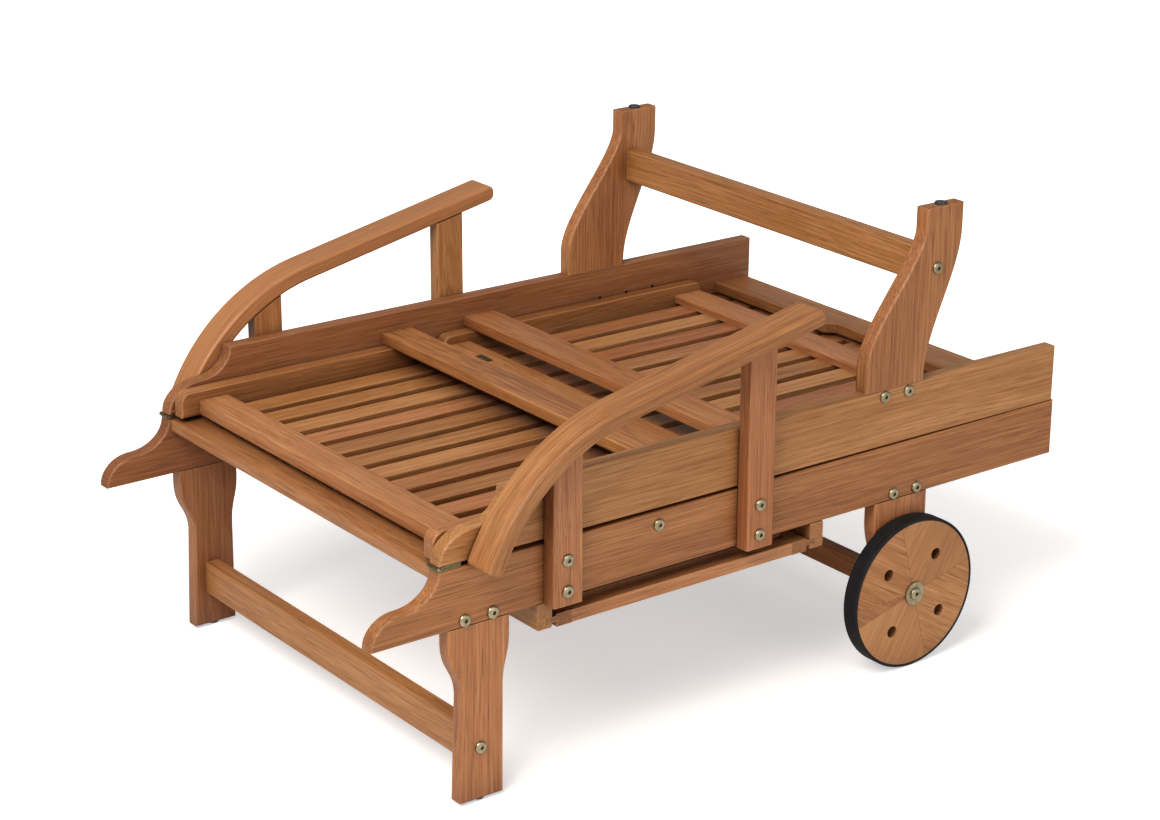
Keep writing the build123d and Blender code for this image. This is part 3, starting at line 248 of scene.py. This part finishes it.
def wheel_grain(t, place, seed):
    """Four quarters, each with its grain along its own middle: coordinates, number, quarter."""
    dx, dz, turns = about_axle(t, place)
    wedge = t.math("FLOOR", t.math("ADD", turns, 4.0))
    angle = t.math("ADD", t.math("MULTIPLY", wedge, QUARTER), WHEEL_SEAM + QUARTER / 2)
    cos_a, sin_a = t.math("COSINE", angle), t.math("SINE", angle)
    u = t.math("ADD", t.math("MULTIPLY", dx, cos_a), t.math("MULTIPLY", dz, sin_a))
    v = t.math("SUBTRACT", t.math("MULTIPLY", dz, cos_a), t.math("MULTIPLY", dx, sin_a))
    number = t.math("ADD", t.math("MULTIPLY", wedge, 2.3), seed)
    return t.join(u, v, place[1]), number, wedge


def wheel_seams(t, place):
    """Thin glue lines between the quarters."""
    dx, dz, turns = about_axle(t, place)
    part = t.math("FRACT", t.math("ADD", turns, 4.5))
    off = t.math("ABSOLUTE", t.math("SUBTRACT", part, 0.5))
    radius = t.vector("LENGTH", t.join(dx, 0.0, dz))
    width = t.math("MULTIPLY", t.math("MULTIPLY", off, QUARTER), radius)
    return t.clamp_range(width, 0.0003, 0.0007, 0.40, 0.0)


def painted_nook_shade(t, colour, reach, limits, most, tint):
    """Painted shade: darkens a colour where other faces come close."""
    occlusion = t.add("ShaderNodeAmbientOcclusion", samples=6)
    t.put(reach, occlusion.inputs["Distance"])
    shade_amount = t.clamp_range(occlusion.outputs["AO"], *limits, most, 0.0)
    return t.mix(shade_amount, colour, tint, "MULTIPLY")


def wood(name, axis, seed, pitch=0.0, split_x=None, sides=True, far_wood_and_painted_shade=0.0, pale=0.0):
    """Oiled hardwood whose grain runs along one axis, the arm's line or the wheel's quarters.

    Pitch tells slats apart, split_x and sides the other boards of a node; far_wood_and_painted_shade
    darkens the boards of the far side, partly as painted shade for their shaded faces and partly as darker
    wood, and pale lightens them all."""
    material = bpy.data.materials.new(name)
    material.use_nodes = True
    material.node_tree.nodes.clear()
    t = Tree(material.node_tree)
    where = t.add("ShaderNodeTexCoord")
    place = t.split(where.outputs["Object"])
    normal = t.split(where.outputs["Normal"])
    x, y, z = place
    wedge = None
    if axis == "arm":
        grain = arm_grain(t, place)
    elif axis == "wheel":
        grain, number, wedge = wheel_grain(t, place, seed)
    else:
        grain = t.join(*{"X": (x, z, y), "Y": (y, z, x), "Z": (z, x, y)}[axis])
    if axis != "wheel":
        number = board_number(t, place, seed, pitch, split_x, sides)
    end = 0.0
    if axis in ("X", "Y", "Z"):
        facing = t.math("ABSOLUTE", normal["XYZ".index(axis)])
        end = t.clamp_range(facing, 0.72, 0.92)

    group = t.add("ShaderNodeGroup")
    group.node_tree = WOOD
    t.put(grain, group.inputs["Grain"])
    t.put(number, group.inputs["Board"])
    t.put(end, group.inputs["End"])
    colour = group.outputs["Colour"]
    if wedge is not None:
        lift = t.math("PINGPONG", t.math("ADD", wedge, 1.0), 1.0)
        colour = t.mix(t.math("MULTIPLY", lift, 0.20), colour, (0.60, 0.30, 0.12, 1.0))
        colour = t.mix(wheel_seams(t, place), colour, (0.07, 0.028, 0.012, 1.0))

    # far-side boards darkened: painted shade for their shaded faces, partly darker wood too
    if far_wood_and_painted_shade:
        darker = t.math("MULTIPLY", t.math("GREATER_THAN", y, 0.0), far_wood_and_painted_shade)
        colour = t.mix(darker, colour, (0.50, 0.42, 0.40, 1.0), "MULTIPLY")

    if pale:
        colour = t.mix(pale, colour, (0.56, 0.27, 0.10, 1.0))

    # corners are worn a little paler
    bevel = t.add("ShaderNodeBevel", samples=4)
    t.put(0.0022, bevel.inputs["Radius"])
    geometry = t.add("ShaderNodeNewGeometry")
    turned = t.vector("DOT_PRODUCT", bevel.outputs[0], geometry.outputs["True Normal"])
    worn = t.clamp_range(turned, 0.985, 0.90, 0.0, 0.30)
    colour = t.mix(worn, colour, (0.66, 0.38, 0.20, 1.0))

    # painted shade: darker where other faces come close, deep into the wells between the boards
    colour = painted_nook_shade(t, colour, 0.07, (0.20, 0.80), 0.85, (0.30, 0.22, 0.18, 1.0))

    bump = t.add("ShaderNodeBump")
    t.put(0.32, bump.inputs["Strength"])
    t.put(0.0007, bump.inputs["Distance"])
    t.put(group.outputs["Height"], bump.inputs["Height"])
    shader = t.add("ShaderNodeBsdfPrincipled")
    t.put(colour, shader.inputs["Base Color"])
    t.put(group.outputs["Roughness"], shader.inputs["Roughness"])
    t.put(0.36, shader.inputs["Specular IOR Level"])
    t.put(0.05, shader.inputs["Coat Weight"])
    t.put(0.35, shader.inputs["Coat Roughness"])
    t.put(bump.outputs[0], shader.inputs["Normal"])
    output = t.add("ShaderNodeOutputMaterial")
    t.put(shader.outputs[0], output.inputs["Surface"])
    return material


# ------------------------------------------------------------------ metal, rubber, plastic
def plain(name, colour, second, rough, metallic, scale, relief=(0.15, 0.0003), shine=0.5):
    """Slightly uneven material: colour, roughness and height all vary.  Relief is strength, depth."""
    material = bpy.data.materials.new(name)
    material.use_nodes = True
    material.node_tree.nodes.clear()
    t = Tree(material.node_tree)
    where = t.add("ShaderNodeTexCoord").outputs["Object"]
    cloud = t.noise(where, scale, 4.0, 0.6)
    fine = t.noise(where, scale * 9.0, 2.0, 0.6)
    mottle = t.math("ADD", cloud, t.math("MULTIPLY", t.math("SUBTRACT", fine, 0.5), 0.4))
    blend = t.clamp_range(mottle, 0.35, 0.68)
    tint = t.mix(blend, (*colour, 1.0), (*second, 1.0))
    bump = t.add("ShaderNodeBump")
    t.put(relief[0], bump.inputs["Strength"])
    t.put(relief[1], bump.inputs["Distance"])
    t.put(fine, bump.inputs["Height"])
    shader = t.add("ShaderNodeBsdfPrincipled")
    # painted shade: darker where other faces come close
    tint = painted_nook_shade(t, tint, 0.006, (0.25, 0.85), 0.80, (0.15, 0.13, 0.10, 1.0))
    t.put(tint, shader.inputs["Base Color"])
    t.put(metallic, shader.inputs["Metallic"])
    t.put(shine, shader.inputs["Specular IOR Level"])
    t.put(t.math("ADD", rough - 0.08, t.math("MULTIPLY", cloud, 0.16)), shader.inputs["Roughness"])
    t.put(bump.outputs[0], shader.inputs["Normal"])
    output = t.add("ShaderNodeOutputMaterial")
    t.put(shader.outputs[0], output.inputs["Surface"])
    return material


BRASS = plain("brass_plated", (0.50, 0.44, 0.30), (0.30, 0.25, 0.15), 0.36, 1.0, 160.0, (0.10, 0.0002))
# darker brass for the hinge leaves: painted shade, as they sit in the gaps between the boards
GAP_SHADED_BRASS = plain("brass_painted_gap_shade", (0.26, 0.21, 0.11), (0.14, 0.11, 0.06), 0.42, 1.0, 160.0, (0.10, 0.0002))
STEEL = plain("steel", (0.55, 0.55, 0.54), (0.40, 0.40, 0.40), 0.35, 1.0, 150.0)
RUBBER = plain("tyre_rubber", (0.006, 0.006, 0.007), (0.012, 0.012, 0.013), 0.66, 0.0, 90.0, (0.30, 0.0004),
               shine=0.22)
PLASTIC = plain("glide_plastic", (0.020, 0.020, 0.025), (0.035, 0.035, 0.045), 0.40, 0.0, 80.0)


# ------------------------------------------------------------------ what each piece is made of
def dress(name, material):
    """Give a CAD node its material and keep its slot."""
    piece = NODES[name]
    piece.data.materials.clear()
    piece.data.materials.append(material)


# seeds: nodes whose grain runs along X, then Y (with where in X a node's two boards part), then Z
GRAIN_X = {
    "main_rail_near": 1.0, "main_rail_far": 2.0, "foot_rail_near": 3.0, "foot_rail_far": 4.0,
    "prop_racks": 5.0, "tray_edges": 6.0, "knee_stiles": 7.0, "calf_stiles": 8.0, "back_stiles": 9.0,
    "prop_arms": 10.0,
}
GRAIN_Y = {
    "front_stretcher": (21.0, None), "axle_bar": (22.0, None), "seat_bars": (23.0, -0.30),
    "back_support_bar": (24.0, None), "tray_runners": (25.0, -0.10), "tray_sides": (26.0, -0.10),
    "foot_stretcher": (27.0, None), "foot_cross_bars": (28.0, -0.02), "hand_bar": (29.0, None),
    "knee_bars": (30.0, -0.20), "calf_joint_bar": (31.0, None), "calf_end_bar": (32.0, None),
    "back_bars": (33.0, 0.10), "prop_bar": (34.0, None),
}
GRAIN_Z = {
    "front_legs": 41.0, "wheel_legs": 42.0, "arm_posts_front": 43.0, "arm_posts_rear": 44.0,
    "foot_legs": 45.0, "arm_dowels": 46.0,
}
# seed and pitch across Y
SLATS = {
    "seat_slats": (51.0, 0.0502), "knee_slats": (52.0, 0.0490), "calf_slats": (53.0, 0.0490),
    "back_slats": (54.0, 0.0490), "tray_slats": (55.0, 0.0568),
}
# how much darker the boards of the far side are: painted shade for their shaded faces, partly darker wood
# too
FAR_WOOD_AND_PAINTED_SHADE = {"main_rail_far": 0.6, "foot_rail_far": 0.6, "front_legs": 0.4, "foot_legs": 0.15}
HARDWARE = (
    "leg_bolts", "barrel_nuts", "post_bolts", "back_pivot_bolts", "axle_bolts", "axle_washers",
    "hinge_pins", "foot_leg_bolts", "foot_barrel_nuts", "joint_pins", "runner_screws",
)
LEAVES = ("hinge_leaves_main", "hinge_leaves_foot", "joint_leaves_knee", "joint_leaves_calf")

for node_name, seed in GRAIN_X.items():
    shade = FAR_WOOD_AND_PAINTED_SHADE.get(node_name, 0.0)
    dress(node_name, wood("wood_" + node_name, "X", seed, far_wood_and_painted_shade=shade))
for node_name, (seed, split) in GRAIN_Y.items():
    dress(node_name, wood("wood_" + node_name, "Y", seed, split_x=split, sides=False))
for node_name, seed in GRAIN_Z.items():
    shade = FAR_WOOD_AND_PAINTED_SHADE.get(node_name, 0.0)
    dress(node_name, wood("wood_" + node_name, "Z", seed, far_wood_and_painted_shade=shade))
for node_name, (seed, pitch) in SLATS.items():
    dress(node_name, wood("wood_" + node_name, "X", seed, pitch=pitch))
for node_name, seed, pale in (("arm_near", 61.0, 0.0), ("arm_far", 62.0, 0.30)):
    dress(node_name, wood("wood_" + node_name, "arm", seed, pale=pale))
for node_name, seed in (("wheel_disc_near", 71.0), ("wheel_disc_far", 95.0)):
    dress(node_name, wood("wood_" + node_name, "wheel", seed))
for node_name in HARDWARE:
    dress(node_name, BRASS)
for node_name in LEAVES:
    dress(node_name, GAP_SHADED_BRASS)
for node_name in ("knee_pivot_pins", "prop_pivot_pins"):
    dress(node_name, STEEL)
for node_name in ("tyre_near", "tyre_far"):
    dress(node_name, RUBBER)
for node_name in ("front_leg_glides", "foot_leg_glides"):
    dress(node_name, PLASTIC)


# ------------------------------------------------------------------ floor, light, camera
FLOOR_BOUNCE = (0.80, 0.78, 0.75, 1.0)  # what the object's underside gets back
FLOOR_SEEN = (1.18, 1.13, 1.08, 1.0)    # what the camera sees, so that the shadows stay soft
FLOOR_GLOW = (0.98, 1.0, 1.02, 1.0)
GLOW_SHARE = 0.30


def floor():
    """Wide pale floor without an edge in sight, brighter away from the object."""
    bpy.ops.mesh.primitive_plane_add(size=60.0, location=(0.0, 0.0, -0.0006))
    plane = bpy.context.object
    plane.name = "studio_floor"
    material = bpy.data.materials.new("studio_white")
    material.use_nodes = True
    material.node_tree.nodes.clear()
    t = Tree(material.node_tree)
    diffuse = t.add("ShaderNodeBsdfDiffuse")
    seen = t.add("ShaderNodeLightPath").outputs["Is Camera Ray"]
    t.put(t.mix(seen, FLOOR_BOUNCE, FLOOR_SEEN), diffuse.inputs["Color"])
    glow = t.add("ShaderNodeEmission")
    t.put(FLOOR_GLOW, glow.inputs["Color"])
    away = t.vector("LENGTH", t.add("ShaderNodeTexCoord").outputs["Object"])
    t.put(t.clamp_range(away, 0.5, 1.6, 1.60, 3.4), glow.inputs["Strength"])
    blend = t.add("ShaderNodeMixShader")
    t.put(t.math("MULTIPLY", seen, GLOW_SHARE), blend.inputs[0])
    t.put(diffuse.outputs[0], blend.inputs[1])
    t.put(glow.outputs[0], blend.inputs[2])
    t.put(blend.outputs[0], t.add("ShaderNodeOutputMaterial").inputs["Surface"])
    plane.data.materials.append(material)


def softbox(name, place, target, size, power, colour=(1.0, 1.0, 1.0)):
    """Square area light aimed at a point."""
    data = bpy.data.lights.new(name, "AREA")
    data.shape = "SQUARE"
    data.size = size
    data.energy = power
    data.color = colour
    lamp = bpy.data.objects.new(name, data)
    bpy.context.scene.collection.objects.link(lamp)
    lamp.location = place
    aim = Vector(target) - Vector(place)
    lamp.rotation_mode = "QUATERNION"
    lamp.rotation_quaternion = aim.to_track_quat("-Z", "Y")


BACKDROP = 1.05


def studio():
    """Even dome, warm key from the leg end and a low fill along the near side."""
    world = bpy.data.worlds.new("studio")
    bpy.context.scene.world = world
    world.use_nodes = True
    world.node_tree.nodes.clear()
    t = Tree(world.node_tree)
    rise = t.split(t.add("ShaderNodeTexCoord").outputs["Generated"])[2]
    dome = t.clamp_range(rise, -0.1, 0.9, 0.30, 0.36)
    seen = t.add("ShaderNodeLightPath").outputs["Is Camera Ray"]
    level = t.math("MAXIMUM", dome, t.math("MULTIPLY", seen, BACKDROP))
    back = t.add("ShaderNodeBackground")
    t.put((1.0, 1.0, 1.0, 1.0), back.inputs["Color"])
    t.put(level, back.inputs["Strength"])
    t.put(back.outputs[0], t.add("ShaderNodeOutputWorld").inputs["Surface"])
    softbox("key", (-2.5, -1.1, 3.2), (0.0, 0.0, 0.25), 2.1, 166.0, (1.0, 0.98, 0.94))
    softbox("fill", (0.6, -4.2, 1.25), (0.0, 0.0, 0.30), 2.2, 46.0, (1.0, 0.99, 0.965))
    scene = bpy.context.scene
    scene.view_settings.view_transform = "Standard"
    scene.view_settings.look = "None"
    scene.view_settings.exposure = 0.0


def camera():
    azimuth, elevation, roll = (math.radians(v) for v in (-36.935, 19.932, 0.261))
    back = Vector((math.sin(azimuth) * math.cos(elevation), -math.cos(azimuth) * math.cos(elevation),
                   math.sin(elevation)))
    right = Vector((math.cos(azimuth), math.sin(azimuth), 0.0))
    up = back.cross(right)
    level_right = math.cos(roll) * right + math.sin(roll) * up
    level_up = math.cos(roll) * up - math.sin(roll) * right
    data = bpy.data.cameras.new("camera")
    data.sensor_width = 36.0
    data.lens = 85.93
    eye = bpy.data.objects.new("camera", data)
    bpy.context.scene.collection.objects.link(eye)
    turn = Matrix((level_right, level_up, back)).transposed()
    eye.rotation_mode = "QUATERNION"
    eye.rotation_quaternion = turn.to_quaternion()
    eye.location = (-2.0290, -2.6916, 1.5304)
    data.clip_start = 0.05
    data.clip_end = 200.0
    bpy.context.scene.camera = eye


floor()
studio()
camera()
